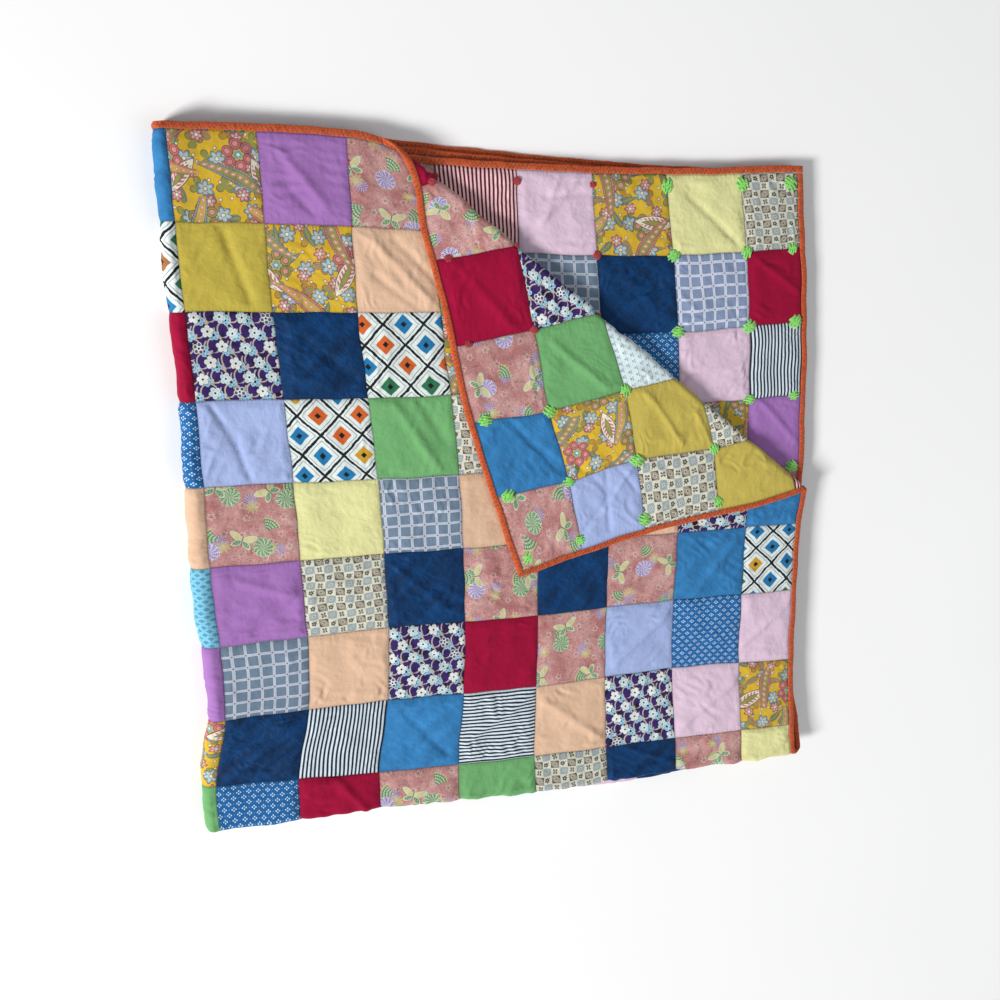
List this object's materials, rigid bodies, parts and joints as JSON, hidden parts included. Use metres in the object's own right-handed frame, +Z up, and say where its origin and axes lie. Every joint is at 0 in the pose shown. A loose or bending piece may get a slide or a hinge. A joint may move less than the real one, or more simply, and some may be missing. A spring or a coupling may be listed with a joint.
{
  "type": "patchwork quilt, folded",
  "caption": "Patchwork quilt of cotton squares on both faces, tied with yarn, folded in quarters with one top corner turned back.",
  "frame": {"origin": "on the surface it lies on, under the middle of the folded pack's box", "axes": "+Z up out of the surface, +Y from the long bottom fold towards the open top edges, +X from the left fold towards the open side"},
  "size_m": [1.0656, 1.1232, 0.0526],
  "materials": {
    "patchwork_cotton": "printed and plain cotton squares, matt, lightly creased",
    "binding_cotton": "orange cotton, matt, zigzag stitched",
    "yarn_green": "bright green soft yarn, matt",
    "yarn_red": "red soft yarn, matt"
  },
  "bodies": {
    "root": {"binding_flap_bottom": "binding_cotton", "binding_flap_left": "binding_cotton", "binding_side_hidden": "binding_cotton", "binding_side_open": "binding_cotton", "binding_top_inner": "binding_cotton", "binding_top_outer": "binding_cotton", "quilt_cloth": "patchwork_cotton", "tie_green_05": "yarn_green", "tie_green_06": "yarn_green", "tie_green_07": "yarn_green", "tie_green_08": "yarn_green", "tie_green_09": "yarn_green", "tie_green_10": "yarn_green", "tie_green_11": "yarn_green", "tie_green_12": "yarn_green", "tie_green_13": "yarn_green", "tie_green_14": "yarn_green", "tie_green_15": "yarn_green", "tie_green_20": "yarn_green", "tie_green_21": "yarn_green", "tie_green_22": "yarn_green", "tie_green_23": "yarn_green", "tie_green_24": "yarn_green", "tie_green_25": "yarn_green", "tie_green_26": "yarn_green", "tie_green_27": "yarn_green", "tie_green_28": "yarn_green", "tie_green_29": "yarn_green", "tie_green_30": "yarn_green", "tie_green_31": "yarn_green", "tie_red_01": "yarn_red", "tie_red_02": "yarn_red", "tie_red_03": "yarn_red", "tie_red_04": "yarn_red", "tie_red_16": "yarn_red", "tie_red_17": "yarn_red", "tie_red_18": "yarn_red", "tie_red_19": "yarn_red"}
  },
  "joints": []
}
